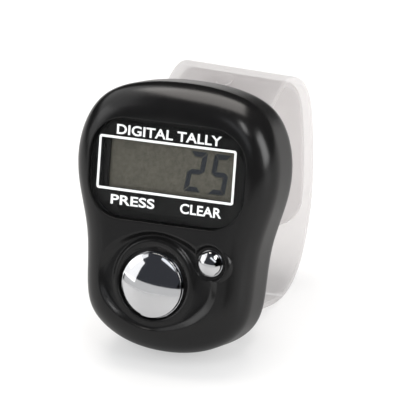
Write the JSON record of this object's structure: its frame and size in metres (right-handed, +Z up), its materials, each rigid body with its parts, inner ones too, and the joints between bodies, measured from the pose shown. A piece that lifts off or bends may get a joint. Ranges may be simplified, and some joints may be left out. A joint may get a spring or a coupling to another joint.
{
  "type": "hand tally counter",
  "caption": "Small black finger-worn tally counter with a digital display, a chrome count button, a smaller chrome reset button and a translucent ring strap behind.",
  "frame": {"origin": "floor contact plane, under the middle of the overall box, with the counter leaning back on its case heel and strap", "axes": "+X to the right seen from the display side, +Y from the display towards the strap, +Z up"},
  "size_m": [0.031, 0.0404, 0.0382],
  "materials": {
    "case": "glossy moulded black ABS",
    "lens": "clear polished plastic",
    "print": "black print",
    "polariser": "grey polarising film",
    "lcd_glass": "clear float glass",
    "reflector": "satin olive grey reflecting film",
    "holder": "satin dark moulding",
    "contact_rubber": "striped silicone rubber",
    "board": "green solder mask",
    "carbon": "carbon loaded",
    "resin": "black epoxy",
    "steel": "bright steel can",
    "ceramic_chip": "tan ceramic",
    "chrome": "bright chrome plating",
    "dome_rubber": "translucent silicone rubber",
    "spring_steel": "nickel plated spring strip",
    "screw_steel": "zinc plated",
    "strap": "milky translucent soft plastic"
  },
  "bodies": {
    "case": {"front_case": "case", "back_cover": "case", "display_lens": "lens", "lens_mask": "print", "lcd_polariser": "polariser", "lcd_front_glass": "lcd_glass", "lcd_rear_glass": "lcd_glass", "lcd_reflector": "reflector", "lcd_holder": "holder", "contact_strip": "contact_rubber", "circuit_board": "board", "key_contacts": "carbon", "chip_blob": "resin", "crystal": "steel", "chip_parts": "ceramic_chip", "count_dome": "dome_rubber", "reset_dome": "dome_rubber", "coin_cell": "steel", "battery_contact_negative": "spring_steel", "battery_contact_positive": "spring_steel", "case_screws": "screw_steel", "board_screws": "screw_steel", "strap_outer": "strap", "strap_tongue": "strap", "strap_peg": "strap", "strap_pins": "screw_steel"},
    "battery_door": {"battery_door": "case"},
    "count_key": {"count_button": "chrome", "count_pill": "carbon"},
    "reset_key": {"reset_button": "chrome", "reset_pill": "carbon"}
  },
  "joints": [
    {"name": "count_press", "type": "slide", "parent": "case", "child": "count_key", "axis": [0, 0.9391, -0.3438], "range_m": [0, 0.0007], "stiffness_N_per_m": 1500, "springref_m": -0.0003, "deforming": ["count_dome"]},
    {"name": "reset_press", "type": "slide", "parent": "case", "child": "reset_key", "axis": [0, 0.9391, -0.3438], "range_m": [0, 0.0006], "stiffness_N_per_m": 1500, "springref_m": -0.0003, "deforming": ["reset_dome"]},
    {"name": "battery_door_slide", "type": "slide", "parent": "case", "child": "battery_door", "axis": [-1, 0, 0], "range_m": [0, 0.0146]}
  ]
}
